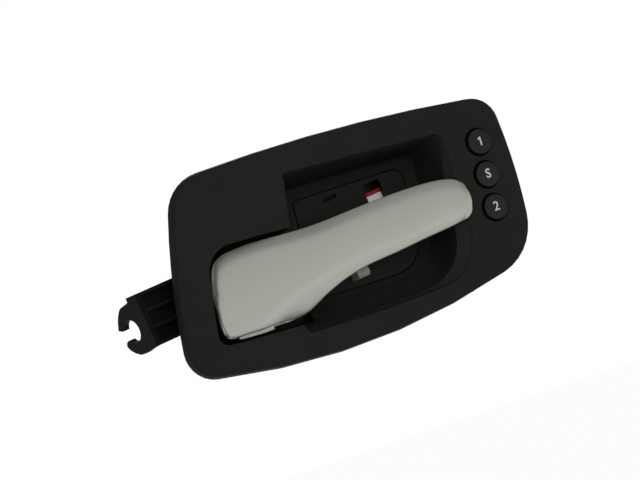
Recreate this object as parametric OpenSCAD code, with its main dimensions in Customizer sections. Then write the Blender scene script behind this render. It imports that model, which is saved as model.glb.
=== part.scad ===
// Interior door handle with a finger cup, a pull lever, a lock slide and three
// memory buttons. Millimetres. X runs along the bezel, Z is up and +Y points
// into the door. The trim panel's face is the plane y = 0.

/* [Bezel] */
// Depth of the bezel's rim in front of the trim
rim_d = 6; // [5:0.5:9]
// Radius of the bezel's soft front edge
edge_r = 2.2; // [1:0.2:3]
// Wall of the bezel and its cup
wall = 2.2; // [1.8:0.1:3]
// How far the rim flares outward at the trim
rim_draft = 0.6; // [0:0.1:1.2]
// Left end of the bezel at its top
bezel_left = 78; // [74:1:90]
// Right end of the bezel
bezel_right = 94.2; // [90:1:110]
// How far the lower left corner stands past the upper one
bezel_slant = 16.4; // [8:1:20]
// Top of the bezel at its right end
bezel_top = 49.2; // [47:1:60]
// Bottom of the bezel at its left end
bezel_bottom = 44.2; // [43:1:55]

/* [Finger cup] */
// Depth of the cup's floor behind the trim
floor_y = 17; // [14:1:24]
// Height of the cup's top edge
cup_top = 36.3; // [34:0.5:38]
// Right end of the cup
cup_right = 61.7; // [58:0.5:64]
// Depth of the cup's lower edge
cup_low = 38.3; // [36:0.5:39]
// How much the cup narrows from its mouth to its floor at the top
cup_draft = 5; // [2:0.5:7]

/* [Mechanism] */
// Tilt of the lever's axis and the cable arm against the bezel
mech_tilt = 8; // [0:1:12]
// Thickness of the carrier's base plate
plate_t = 2.4; // [2:0.2:3.2]
// Diameter of the lever's hinge pin
pin_d = 4; // [3:0.5:5]
// Running clearance round the pin
pin_gap = 0.05; // [0.02:0.01:0.09]
// Outer diameter of the hinge barrels and ears
barrel_d = 9; // [8:0.5:9.4]
// Distance from the hinge axis to the cable eye
crank_r = 32; // [28:1:34]
// Diameter of the cable eye
eye_d = 4; // [3:0.5:5]
// Side play between the lever and the ears
side_gap = 0.4; // [0.2:0.1:0.6]

/* [Cable arm] */
// Height of the cable arm
arm_h = 26; // [22:1:28]
// Depth of the front of the arm behind the trim
arm_y = 8; // [7:0.5:10]
// Depth of the arm's box
arm_d = 10; // [8:0.5:12]
// Thickness of the arm's outer end plate
end_t = 2.6; // [2:0.2:3.4]
// Radius of the cable seat
seat_r = 5.5; // [4.5:0.1:6]
// Width of the snap mouth
mouth_w = 5; // [4:0.5:7]

/* [Lever] */
// Skin of the lever
skin = 2; // [1.6:0.2:2.6]
// Thickness of the grip
grip_t = 10; // [8:0.5:12]

/* [Memory buttons] */
// Diameter of a button
button_d = 13.4; // [12:0.2:13.8]
// Diameter of its hole
button_hole_d = 14.4; // [14.2:0.1:15]
// Distance between buttons
button_pitch = 16.6; // [16:0.2:18]
// How far a button stands proud
button_proud = 1.8; // [1:0.2:2.6]
// Diameter of the button's collar
collar_d = 15.6; // [15.2:0.1:16.2]

/* [Fasteners] */
// Thread diameter of the screws
screw_d = 3; // [2.5:0.5:3.5]
// Head diameter of the screws
head_d = 6.4; // [5.5:0.2:7.5]
// Diameter of a screw boss
boss_d = 6.6; // [6:0.2:7.2]
// Diameter of the two fixing holes in the carrier
fixing_d = 5.2; // [4:0.2:6]
// Height of the upper fixing hole
fixing_up = 44; // [42:1:46]
// Depth below the origin of the lower fixing hole
fixing_down = 42.5; // [41:0.5:44]

/* [Hidden] */
$fn = 48;
eps = 0.01;
face_y = -rim_d;
sheet_y = face_y + wall;
plate_y = floor_y + wall + 0.2;
plate_back = plate_y + plate_t;

function mix(a, b, t) = a + (b - a) * t;
function unit(v) = v / norm(v);

// Circle that passes through two corners and bows outward by s: [centre, radius]
function side_circle(a, b, s) =
    let (c = norm(b - a), r = (c * c / 4 + s * s) / (2 * s), d = unit(b - a))
    [(a + b) / 2 - [-d[1], d[0]] * (r - s), r];

// Point where two circles cross, the one nearest to a given point
function crossing(c1, r1, c2, r2, near) =
    let (
        d = norm(c2 - c1),
        a = (r1 * r1 - r2 * r2 + d * d) / (2 * d),
        h = sqrt(max(0, r1 * r1 - a * a)),
        e = unit(c2 - c1),
        p = c1 + e * a,
        q = [-e[1], e[0]] * h
    )
    norm(p + q - near) < norm(p - q - near) ? p + q : p - q;

function heading(v) = atan2(v[1], v[0]);
function below(a, top) = a > top ? below(a - 360, top) : a;

// Outline with four corners, clockwise from the top left, whose sides bow
// outward and whose corners are round. inset draws a parallel outline inside.
function bowed_quad(corners, radii, bows, inset = 0, nc = 7, ns = 5) =
    let (
        sides = [for (i = [0:3]) side_circle(corners[i], corners[(i + 1) % 4], bows[i])],
        hubs = [for (i = [0:3]) let (s = sides[(i + 3) % 4], t = sides[i])
            crossing(s[0], s[1] - radii[i], t[0], t[1] - radii[i], corners[i])],
        from = [for (i = [0:3]) heading(hubs[i] - sides[(i + 3) % 4][0])],
        to = [for (i = [0:3]) below(heading(hubs[i] - sides[i][0]), from[i])]
    )
    [for (i = [0:3]) each concat(
        [for (k = [0:nc]) let (a = mix(from[i], to[i], k / nc))
            hubs[i] + (radii[i] - inset) * [cos(a), sin(a)]],
        [for (k = [1:ns - 1]) let (a = mix(to[i], below(from[(i + 1) % 4], to[i]), k / ns))
            sides[i][0] + (sides[i][1] - inset) * [cos(a), sin(a)]]
    )];

// A ring of the outline at depth y
function ring(points, y) = [for (p = points) [p[0], y, p[1]]];

// Solid skinned over rings with as many points each, which run clockwise as seen
// along the way from the first ring to the last
module loft(rings) {
    n = len(rings[0]);
    m = len(rings);
    polyhedron(
        points = [for (r = rings) each r],
        faces = concat(
            [[for (i = [0:n - 1]) i]],
            [for (k = [0:m - 2], i = [0:n - 1]) let (j = (i + 1) % n)
                [k * n + i, (k + 1) * n + i, (k + 1) * n + j, k * n + j]],
            [[for (i = [n - 1:-1:0]) (m - 1) * n + i]]
        ),
        convexity = 8
    );
}

// Slab of a flat outline in the XZ plane between two depths
module slab(y0, y1) {
    translate([0, y1, 0]) rotate([90, 0, 0]) linear_extrude(y1 - y0) children();
}
// Round post along Y between two depths
module post(x, z, y0, y1, d) {
    translate([x, y1, z]) rotate([90, 0, 0]) cylinder(d = d, h = y1 - y0);
}
// Box between two corners
module block(a, b) { translate(a) cube(b - a); }
// Places the mechanism's own frame, tilted against the bezel
module in_mechanism() { rotate([0, -mech_tilt, 0]) children(); }

// Bezel outline

bezel_corners = [[-bezel_left, bezel_top - 3.4], [bezel_right, bezel_top],
    [bezel_right, -bezel_bottom + 12.6], [-bezel_left - bezel_slant, -bezel_bottom]];
bezel_radii = [21, 13.5, 28.5, 14];
bezel_bows = [4.1, 3.3, 12.4, 3.1];
function bezel_outline(inset = 0) = bowed_quad(bezel_corners, bezel_radii, bezel_bows, inset);

// Cup outlines at its mouth, its shoulder and its floor

shoulder_y = face_y + 2.8;
mouth_corners = [[-24.4, cup_top], [cup_right, cup_top], [cup_right + 0.9, -cup_low + 4.8],
    [-36.5, -cup_low]];
shoulder_corners = [[-24, cup_top - 0.5], [cup_right - 1.2, cup_top - 0.5],
    [cup_right - 8, -cup_low + 6], [-36, -cup_low + 0.8]];
floor_corners = [[-21, cup_top - cup_draft - 1], [cup_right - 6.5, cup_top - cup_draft + 1.6],
    [cup_right - 12, -25], [-33, -27]];
cup_radii = [1.5, 4, 24, 5];
floor_radii = [2.5, 6, 16, 4];
cup_bows = [0.2, 0.3, 1.5, 0.2];
cup_steps = 6;
// Share of the way that the scoop's lower side has gone at depth share t
function scoop(t) = 1 - sqrt(1 - t * t);
function cup_corners(t) = [for (i = [0:3])
    [mix(shoulder_corners[i][0], floor_corners[i][0], i == 2 ? scoop(t) : t),
        mix(shoulder_corners[i][1], floor_corners[i][1], i > 1 ? scoop(t) : t)]];
function cup_quad(t, inset) =
    bowed_quad(cup_corners(t), mix(cup_radii, floor_radii, t), cup_bows, inset);
function cup_rings(inset, last_y) = concat(
    [ring(bowed_quad(mouth_corners, cup_radii, cup_bows, inset), face_y - (inset < 0 ? 0 : 1))],
    [ring(bowed_quad(mouth_corners, cup_radii, cup_bows, inset), face_y + 0.3)],
    [for (k = [0:cup_steps]) let (t = k / cup_steps)
        ring(cup_quad(t, inset), mix(shoulder_y, floor_y, t))],
    last_y > floor_y ? [ring(cup_quad(1, inset), last_y)] : []);

// Lever opening in the bezel's sheet

aperture_corners = [[-71.2, 11], [-22, 11.3], [-22, -34.2], [-78.2, -33.4]];
aperture_radii = [14, 1.5, 1.5, 5];
aperture_bows = [0.6, 0.1, 0.4, 0.6];
module aperture(grow = 0) {
    polygon(bowed_quad(aperture_corners, aperture_radii, aperture_bows, -grow));
}

// Panel of the carrier that shows in the cup's floor

panel_corners = [[-14, 24], [46.8, 27], [45, -22.5], [-16, -24]];
panel_radii = [1.5, 5, 17, 6];
panel_bows = [0.2, 0.2, 0.6, 0.2];
seam = 0.6;
module panel_outline(grow = 0) {
    polygon(bowed_quad(panel_corners, panel_radii, panel_bows, -grow));
}

// Button row

button_row = [80, 11.2];
button_tilt = 2.8;
function button_place(i) = button_row + i * button_pitch * [sin(button_tilt), cos(button_tilt)];

// Bosses that the carrier is screwed to, and the towers of the trim clips

boss_places = [[-50, 37], [48, 41.5], [36, -38.6], [-60, -39.6]];
tower_places = [[-8, 44], [60, 43.6], [-80, -36], [6, -43.5]];
tower_size = [9, 3];
tower_back = 15;
module_bosses = [[71.5, 38.5], [88.5, -15.5]];

module tower(p) {
    block([p[0] - tower_size[0] / 2, sheet_y - eps, p[1] - tower_size[1] / 2],
        [p[0] + tower_size[0] / 2, tower_back, p[1] + tower_size[1] / 2]);
}

// Thin ribs behind the sheet, and fins that stiffen the tall bosses
sheet_ribs = [[[-44, 13], [-44, 46]], [[-30, 14], [-30, 46]], [[10, 38], [10, 50]],
    [[30, 38], [30, 50]], [[-74, 12], [-60, 30]], [[-40, -37], [-40, -45]],
    [[20, -39], [20, -46]], [[52, -34], [56, -42]], [[64, -10], [66, -24]]];
module rib(a, b) {
    slab(sheet_y - 0.5, 1.5) polygon([for (q = [[a, 1], [b, 1], [b, -1], [a, -1]])
        q[0] + 0.7 * q[1] * [-(b - a)[1], (b - a)[0]] / norm(b - a)]);
}
module boss_fins(p) {
    translate([p[0], 0, p[1]]) for (s = [-1, 1]) linear_extrude(1.2, center = true)
            polygon([[0, sheet_y - 0.5], [s * 8, sheet_y - 0.5], [s * 8, 0], [s * 3, 12], [0, 12]]);
}

module bezel_skin() {
    arc = [0, 30, 60, 90];
    inner_arc_y = sheet_y + 1.2;
    difference() {
        loft(concat(
            [for (k = [3:-1:0]) ring(bezel_outline(edge_r * (1 - cos(arc[k]))),
                face_y + edge_r * (1 - sin(arc[k])))],
            [ring(bezel_outline(-rim_draft), 0)]));
        loft([
            ring(bezel_outline(wall + 1.2), sheet_y),
            ring(bezel_outline(wall), inner_arc_y),
            ring(bezel_outline(wall - rim_draft), 1)]);
    }
}
module bezel() {
    color("#252623") difference() {
        union() {
            bezel_skin();
            loft(cup_rings(-wall, floor_y + wall));
            slab(sheet_y - eps, sheet_y + 2) difference() {
                aperture(1.8);
                translate([-120, -60]) square([64, 120]);
            }
            for (p = boss_places) post(p[0], p[1], sheet_y - eps, plate_y, boss_d);
            for (p = module_bosses) post(p[0], p[1], sheet_y - eps, module_back, boss_d);
            for (p = tower_places) tower(p);
            for (r = sheet_ribs) rib(r[0], r[1]);
            for (p = boss_places) boss_fins(p);
        }
        loft(cup_rings(0, floor_y + eps));
        slab(floor_y - 1, floor_y + wall + 1) panel_outline(seam);
        slab(face_y - 1, floor_y + wall + 1) aperture();
        for (i = [-1:1]) post(button_place(i)[0], button_place(i)[1], face_y - 1, sheet_y + 1,
            button_hole_d);
        for (p = boss_places) post(p[0], p[1], sheet_y + 2, plate_y + 1, screw_d + 0.2);
        for (p = module_bosses) post(p[0], p[1], sheet_y + 2, module_back + 1, screw_d + 0.2);
    }
}

// Hinge, in the mechanism's frame: u along the grip, w along the pin

hinge_u = -60;
hinge_y = 4;
ear_low = [-18, -15];
ear_high = [8, 11];
spring_span = [-7.6, -2.2];
crank_w = [-1.8, 2.2];
module along_pin(w0, w1, d) {
    translate([hinge_u, hinge_y, w0]) cylinder(d = d, h = w1 - w0);
}
module pin_bore(w0, w1) {
    along_pin(w0 - 1, w1 + 1, pin_d + 2 * pin_gap);
}

// Cable arm and its end plate

arm_top = 16;
arm_u = [-103, -84];
pocket_wall = 1.6;
pocket_floor = 4;
// The end plate is square to the cable, which runs from its seat to the crank's eye
plate_turn = 18;
seat_s = arm_d + 3.2;
seat_w = arm_top - arm_h / 2 - 2.4;
mouth_mid = seat_w - 0.9;
mouth = [mouth_mid - mouth_w / 2, mouth_mid + mouth_w / 2];
// Lower and upper jaw of the seat, as offsets from its centre
lower_jaw = [[-8.5, -11], [-3.3, -11.8], [1.3, -11.6], [4.9, -10.1], [7.9, -7.9], [9.3, -5.6], [8.2, -4]];
upper_jaw = [[10.7, 2.6], [8.3, 6.5], [6.4, 8.8], [3.7, 11.2], [1.9, 12.1], [-3.5, 12.9], [-8.2, 14]];
end_outline = concat(
    [[0, arm_top - arm_h + 0.1]],
    [for (p = lower_jaw) [seat_s + p[0], seat_w + p[1]]],
    [[seat_s + 6.6, mouth[0]], [seat_s, mouth[0]], [seat_s, mouth[1]], [seat_s + 7.5, mouth[1]]],
    [for (p = upper_jaw) [seat_s + p[0], seat_w + p[1]]],
    [[0, arm_top - 0.1]]
);
module end_plate() {
    translate([arm_u[0], arm_y - 0.2, 0]) rotate([0, 0, 90 + plate_turn])
        translate([0, end_t, 0]) rotate([90, 0, 0]) linear_extrude(end_t) difference() {
            polygon(end_outline);
            translate([seat_s, seat_w]) circle(r = seat_r);
        }
}
module cable_arm() {
    difference() {
        translate([0, 0, arm_top - arm_h]) linear_extrude(arm_h)
            polygon([[arm_u[1], arm_y], [arm_u[0] - 0.6, arm_y],
                [arm_u[0] - 0.6 - arm_d * tan(plate_turn), arm_y + arm_d],
                [arm_u[1], arm_y + arm_d]]);
        for (i = [0:2]) let (
            cell = (arm_h - 4 * pocket_wall) / 3,
            w = arm_top - arm_h + pocket_wall + i * (cell + pocket_wall)
        )
            block([arm_u[0] + 0.3, arm_y - 1, w],
                [arm_u[1] - pocket_wall, arm_y + arm_d - pocket_floor, w + cell]);
        translate([arm_u[0], arm_y - 0.2, 0]) rotate([0, 0, 90 + plate_turn])
            translate([seat_s, -14, seat_w]) rotate([-90, 0, 0]) cylinder(r = seat_r + 0.4, h = 16);
    }
    end_plate();
}

// Lock slide, in the mechanism's frame

flag_u = [22.9, 38.6];
flag_w = [6, 15.2];
tab_u = [2.2, 8.8];
tab_w = [-21.4, -15];
slide_y = plate_back + 0.3;
slide_t = 2;
slide_travel = 5.5;
rail_gap = 0.2;
window_u = [26.6, 36.4];
window_w = [8.6, 19.6];
flag_y = floor_y + 2.9;
band_w = flag_w[1] - 1.8;

module carrier_plate() {
    slab(plate_y, plate_back) hull() {
        for (p = [[-76, 8], [-79, -34], [-20, -36], [-20, 28], [50, 30], [50, -26]])
            translate(p) circle(r = 4, $fn = 32);
    }
}
module lug(p, d) {
    slab(plate_y, plate_back) hull() {
        translate(p) circle(d = d, $fn = 32);
        translate([p[0], p[1] > 0 ? 14 : -22]) square([12, 8], center = true);
    }
}
module ear(w) {
    difference() {
        union() {
            along_pin(w[0], w[1], barrel_d);
            block([hinge_u - barrel_d / 2 + 0.6, hinge_y, w[0]],
                [hinge_u + barrel_d / 2 - 0.6, plate_y, w[1]]);
        }
        pin_bore(w[0], w[1]);
    }
}
fixing_x = 15;
stake_d = 3;
stake_places = [[-78, -5], [-78, 7], [-68, -14.5], [-68, 6]];
module carrier() {
    color("#1b1c1a") difference() {
        union() {
            carrier_plate();
            for (p = boss_places) lug(p, boss_d + 1.6);
            lug([fixing_x, fixing_up], fixing_d + 5);
            lug([fixing_x, -fixing_down], fixing_d + 5);
            slab(floor_y - 0.2, plate_y + 0.5) panel_outline();
            in_mechanism() {
                for (w = back_ribs) block([rib_u[0], plate_back - 0.5, w - 0.8],
                    [rib_u[1], plate_back + rib_h, w + 0.8]);
                for (u = cross_ribs) block([u - 0.8, plate_back - 0.5, back_ribs[0]],
                    [u + 0.8, plate_back + rib_h, back_ribs[1]]);
            }
        }
        in_mechanism() {
            block([window_u[0], floor_y - 2, window_w[0]], [window_u[1], plate_back + 1, window_w[1]]);
            block([flag_u[0] - 0.5, flag_y - 0.3, flag_w[0] - 0.6],
                [flag_u[1] + 0.5, plate_back + 1, flag_w[1] + slide_travel + 0.6]);
            block([tab_u[0] - 0.6, floor_y - 2, tab_w[0] - 0.6],
                [tab_u[1] + 0.6, plate_back + 1, tab_w[1] + slide_travel + 0.6]);
            block([hinge_u - 5.5, plate_y - 1, crank_w[0] - 1.2],
                [hinge_u + 20, plate_back + 1, crank_w[1] + 1.2]);
            block([4, floor_y - 2, 19.4], [12, floor_y + 1.5, 21.6]);
            block([arm_u[0], plate_y - 1, arm_top - arm_h - 0.3],
                [arm_u[1] + 0.2, plate_back + 1, arm_top + 0.3]);
            for (p = stake_places) post(p[0], p[1], plate_y - 1, plate_back + 1, stake_d + 0.1);
        }
        for (p = boss_places) post(p[0], p[1], plate_y - 1, plate_back + 1, screw_d + 0.6);
        for (z = [fixing_up, -fixing_down])
            post(fixing_x, z, plate_y - 1, plate_back + 1, fixing_d);
        bumper_seat();
    }
}

// Stakes that hold the two brackets: a pin through the plate with a flattened head
module stake(p) {
    post(p[0], p[1], plate_y - 0.5, plate_back + 0.5, stake_d);
    post(p[0], p[1], plate_back, plate_back + 1.2, stake_d + 2);
}
foot_t = 2.5;
module hinge_bracket() {
    color("#1b1c1a") in_mechanism() {
        difference() {
            union() {
                ear(ear_low);
                ear(ear_high);
                block([-70.5, plate_y - foot_t, ear_low[0]], [-66, plate_y, ear_high[1]]);
                for (w = [ear_low, ear_high])
                    block([-67, plate_y - foot_t, w[0]], [hinge_u + barrel_d, plate_y, w[1]]);
                for (p = stake_places) if (p[0] > arm_u[1] + 12) stake(p);
            }
            pin_bore(ear_low[0], ear_high[1]);
        }
    }
}
module cable_bracket() {
    color("#1b1c1a") in_mechanism() {
        cable_arm();
        block([arm_u[1] - 3, min(plate_y - foot_t, arm_y + arm_d - 1.2), arm_top - arm_h + 0.2],
            [-74, plate_y, arm_top - 4]);
        for (p = stake_places) if (p[0] < arm_u[1] + 12) stake(p);
    }
}
module slide_guide() {
    color("#1b1c1a") in_mechanism() {
        for (s = [-1, 1]) slide_rail(s);
        hood([flag_u[0] - 0.5, flag_u[1] + 0.5], [flag_w[1] - 2, flag_w[1] + slide_travel + 0.6],
            true, false, true);
        hood([tab_u[0] - 2.4, tab_u[1] + 0.6], [tab_w[0] - 2.4, tab_w[1] + slide_travel + 0.6],
            false, true, false);
    }
}

// Ribs on the carrier's back, left of the crank and between crank and slide
rib_h = 3;
back_ribs = [-30, 10];
rib_u = [-34, -6];
cross_ribs = [-34, -20, -6];

// Stem of the lock slide and the hooked rails that hold it behind the plate

stem_u = [12, 22];
stem_w = [-21.4, 15.2];
rail_h = slide_t + 0.6;
module slide_rail(s) {
    edge = s < 0 ? stem_u[0] - rail_gap : stem_u[1] + rail_gap;
    for (w = [-9, 0]) {
        block([min(edge, edge + s * 2), plate_back, w],
            [max(edge, edge + s * 2), slide_y + rail_h, w + 5]);
        block([min(edge - s * 1.4, edge + s * 2), slide_y + slide_t + rail_gap, w],
            [max(edge - s * 1.4, edge + s * 2), slide_y + rail_h + 1, w + 5]);
    }
}
// Hoods on the carrier's back that cover the flag's pocket and the tab's slot.
// Each is a shallow box from u[0] to u[1] and w[0] to w[1], whose walls stand
// outside that field and are left out where the slide passes.
hood_t = 1.5;
hood_y = slide_y + slide_t + 0.3;
module hood(u, w, open_left, open_right, open_low) {
    difference() {
        block([u[0] - (open_left ? 0 : hood_t), plate_back, w[0] - (open_low ? 0 : hood_t)],
            [u[1] + (open_right ? 0 : hood_t), hood_y + hood_t, w[1] + hood_t]);
        block([u[0] - (open_left ? 1 : 0), plate_back - 1, w[0] - (open_low ? 1 : 0)],
            [u[1] + (open_right ? 1 : 0), hood_y, w[1]]);
    }
}
module lock_slide() {
    color("#b9b9ae") in_mechanism() difference() {
        union() {
            block([stem_u[0], slide_y, stem_w[0]], [stem_u[1], slide_y + slide_t, stem_w[1]]);
            block([stem_u[1] - 1, slide_y, flag_w[0]], [flag_u[1], slide_y + slide_t, flag_w[1]]);
            block([flag_u[0], flag_y, flag_w[0]], [flag_u[1], slide_y + eps, band_w]);
            block([flag_u[0], flag_y + 1.1, flag_w[0]], [flag_u[1], slide_y + eps, flag_w[1]]);
            block([tab_u[0] - 2, slide_y, tab_w[0] - 2],
                [stem_u[0] + 1, slide_y + slide_t, tab_w[1]]);
            slide_tab();
        }
        translate([17, 0, -17]) rotate([-90, 0, 0])
            translate([0, 0, slide_y - 1]) cylinder(d = 3.2, h = slide_t + 2);
    }
}
module slide_tab() {
    tab_front = 9;
    translate([tab_u[0], 0, 0]) rotate([90, 0, 90])
        linear_extrude(tab_u[1] - tab_u[0])
            polygon([[slide_y + slide_t, tab_w[0]], [tab_front + 1, tab_w[0]],
                [tab_front, tab_w[0] + 1], [tab_front, tab_w[0] + 4], [tab_front + 2.4, tab_w[1]],
                [slide_y + slide_t, tab_w[1]]]);
}
module lock_indicator() {
    color("#8e1c26") in_mechanism()
        block([flag_u[0], flag_y, band_w], [flag_u[1], flag_y + 1.1, flag_w[1]]);
}
module lock_spring() {
    color("#a7a9a8") in_mechanism() translate([stem_u[0] - 7.5, plate_back, -3.5])
        linear_extrude(3)
            polygon([[0, 0], [6.4, 0], [7.2, 0.6], [7.2, 2.2], [6.8, 2.2], [6.8, 0.8], [6.2, 0.4],
                [0, 0.4]]);
}

// Lever: stations along its length, each [x, top, bottom, front]

stations = [
    [-74, -12, -24.5, -1.8],
    [-71.8, -4, -28.6, -2.2],
    [-68, 4.2, -30.6, -2.8],
    [-62, 7.7, -31.1, -3.2],
    [-54, 9, -31.1, -4.2],
    [-44, 9.4, -30.9, -6],
    [-36, 9.5, -30.6, -7.6],
    [-28.5, 9.4, -28.8, -9],
    [-20, 9.6, -24, -10.4],
    [-10, 10.4, -19.5, -11.6],
    [4, 12, -15.8, -12.6],
    [20, 13.5, -13.7, -13],
    [36, 14.5, -11.2, -12.8],
    [48, 14.7, -9.6, -12],
    [57, 13.8, -8.2, -11],
    [62.5, 12, -6.8, -10],
    [65.6, 8.8, -4.2, -9.2]
];
root_back = 1.5;
section_n = 28;
// Ring of a grip section, a softened rectangle with a dished front
function section(s, back, dish) =
    let (zc = (s[1] + s[2]) / 2, hz = (s[1] - s[2]) / 2, yc = (s[3] + back) / 2, hy = (back - s[3]) / 2)
    [for (i = [0:section_n - 1]) let (
        a = 360 * i / section_n,
        c = cos(a), d = sin(a),
        z = sign(c) * pow(abs(c), 0.55),
        y = sign(d) * pow(abs(d), 0.55)
    )
        [s[0], yc - hy * y + (y > 0 ? dish * pow(max(0, 1 - z * z), 2) * y : 0), zc + hz * z]];
// Back of the lever towards its tip, which passes in front of the cup's edge
tip_back = [[46, 1.5], [57, -4.6], [62.5, -6.6], [65.4, -6.9]];
function station_back(s) = min(s[3] + grip_t, root_back, lookup(s[0], tip_back));
lever_dish = 0.7;
module lever_shell() {
    difference() {
        loft([for (s = stations) section(s, station_back(s), lever_dish)]);
        loft([for (i = [1:6]) let (s = stations[i])
            section([s[0] + (i == 1 ? 1 : 0), s[1] - skin, s[2] + skin, s[3] + skin], 6, 0)]);
    }
}
module lever() {
    color("#a3a49d") difference() {
        union() {
            lever_shell();
            in_mechanism() {
                along_pin(ear_low[1] + side_gap, spring_span[0] - 0.4, barrel_d);
                along_pin(crank_w[0], ear_high[0] - side_gap, barrel_d);
                for (w = [[ear_low[1] + side_gap, spring_span[0] - 0.4],
                        [crank_w[1], ear_high[0] - side_gap]])
                    block([hinge_u, hinge_y - 6.6, w[0]], [hinge_u + 12, hinge_y, w[1]]);
                crank();
            }
        }
        in_mechanism() {
            pin_bore(ear_low[1], ear_high[0]);
            translate([hinge_u, hinge_y + crank_r, crank_w[0] - 1])
                cylinder(d = eye_d, h = crank_w[1] - crank_w[0] + 2);
        }
    }
}
module crank() {
    translate([0, 0, crank_w[0]]) linear_extrude(crank_w[1] - crank_w[0]) hull() {
        translate([hinge_u, hinge_y]) circle(d = barrel_d - 1, $fn = 32);
        translate([hinge_u, hinge_y + crank_r]) circle(d = eye_d + 4, $fn = 32);
    }
}

pin_low = ear_low[0] - 1;
pin_high = ear_high[1] + 2.2;
module hinge_pin() {
    color("#b8b9b8") in_mechanism() difference() {
        union() {
            along_pin(pin_low + 1, pin_high, pin_d);
            along_pin(pin_low, pin_low + 1, pin_d + 2.4);
        }
        difference() {
            along_pin(ear_high[1] + 0.3, ear_high[1] + 1.1, pin_d + 2);
            along_pin(ear_high[1] + 0.2, ear_high[1] + 1.2, pin_d - 1);
        }
    }
}
module pin_clip() {
    color("#8f9090") in_mechanism() translate([hinge_u, hinge_y, ear_high[1] + 0.4])
        linear_extrude(0.6) difference() {
            circle(d = pin_d + 3.6);
            circle(d = pin_d - 0.9);
            translate([0, -(pin_d - 0.9) / 2]) square([10, pin_d - 0.9]);
        }
}

// Torsion spring wound round the pin between the lever's barrels

wire_d = 1;
coil_r = pin_d / 2 + 0.9;
coil_turns = 4.5;
coil_steps = 14;
leg_fixed = 14.6;
leg_moving = 9;
wire_sides = 6;
function wire_ring(p, out) = [for (i = [0:wire_sides - 1]) let (a = 360 * i / wire_sides)
    p + wire_d / 2 * (cos(a) * out - sin(a) * [0, 0, 1])];
module return_spring() {
    span = spring_span[1] - spring_span[0] - wire_d;
    n = floor(coil_turns * coil_steps);
    color("#9a9b9b") in_mechanism() translate([hinge_u, hinge_y, spring_span[0] + wire_d / 2])
        loft(concat(
            [wire_ring([-coil_r, leg_fixed, 0], [-1, 0, 0])],
            [for (k = [0:n]) let (
                a = 180 + 360 * k / coil_steps,
                out = [cos(a), sin(a), 0]
            ) wire_ring(coil_r * out + [0, 0, span * k / n], out)],
            [wire_ring([coil_r, leg_moving, span], [1, 0, 0])]));
}

// Rubber buffer that the lever rests on

bumper_p = [-31.5, -20];
module bumper_seat() {
    post(bumper_p[0], bumper_p[1], plate_y - 1, plate_back + 1, 4);
}
module rest_bumper() {
    color("#101010") {
        post(bumper_p[0], bumper_p[1], 1.8, plate_y, 6);
        post(bumper_p[0], bumper_p[1], plate_y - eps, plate_back, 4);
    }
}

// Memory buttons: a domed cap, a collar behind the sheet and a stem

collar_y = sheet_y + 0.2;
collar_t = 1.4;
stem_back = collar_y + collar_t + 1.4;
module button(i) {
    p = button_place(i);
    cap_front = face_y - button_proud;
    color("#1d1e1d") translate([p[0], stem_back, p[1]]) rotate([90, 0, 0]) rotate_extrude()
        polygon([[0, 0], [3, 0], [3, 1.4], [collar_d / 2, 1.4], [collar_d / 2, 1.4 + collar_t],
            [button_d / 2, 1.4 + collar_t], [button_d / 2, stem_back - cap_front - 0.9],
            [button_d / 2 - 0.35, stem_back - cap_front - 0.35],
            [button_d / 2 - 1.1, stem_back - cap_front], [0, stem_back - cap_front + 0.25]]);
}
module button_1() { button(1); }
module button_s() { button(0); }
module button_2() { button(-1); }

// Switch module behind the buttons

module_front = collar_y;
module_back = 12;
module_half = [11.5, 27];
guide_y = 2;
pad_t = 1.1;
module at_row() {
    translate([button_row[0], 0, button_row[1]]) rotate([0, button_tilt, 0]) children();
}
module module_outline(inset = 0) {
    c = module_half - [inset, inset];
    hull() for (x = [-1, 1], z = [-1, 1]) translate([x * (c[0] - 2), z * (c[1] - 2)])
        circle(r = 2, $fn = 24);
}
// Cuts room for the bezel's module bosses
module boss_cut() {
    difference() {
        children();
        for (p = module_bosses) post(p[0], p[1], module_front - 1, module_back, boss_d + 0.4);
    }
}
module switch_housing() {
    color("#161716") boss_cut() difference() {
        at_row() slab(module_front, module_back - 0.1) module_outline();
        at_row() slab(guide_y, module_back) module_outline(1.6);
        for (i = [-1:1]) post(button_place(i)[0], button_place(i)[1], module_front - 1,
            guide_y + 1, collar_d + 0.2);
    }
}
module button_pad() {
    color("#3c3d3b") {
        boss_cut() at_row() slab(guide_y + 0.1, guide_y + 0.1 + pad_t) module_outline(1.8);
        for (i = [-1:1]) let (p = button_place(i), y = guide_y + 0.1)
            translate([p[0], y + eps, p[1]]) rotate([90, 0, 0])
                cylinder(d1 = 9, d2 = 6, h = y - stem_back - 0.2);
    }
}
board_y = guide_y + pad_t + 0.3;
module circuit_board() {
    color("#1f5a38") boss_cut() at_row() slab(board_y, board_y + 1.6) module_outline(1.9);
}
socket_half = [8, 5];
cover_t = 2;
ear_back = module_back + cover_t - 0.2;
socket_back = module_back + 12;
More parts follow.
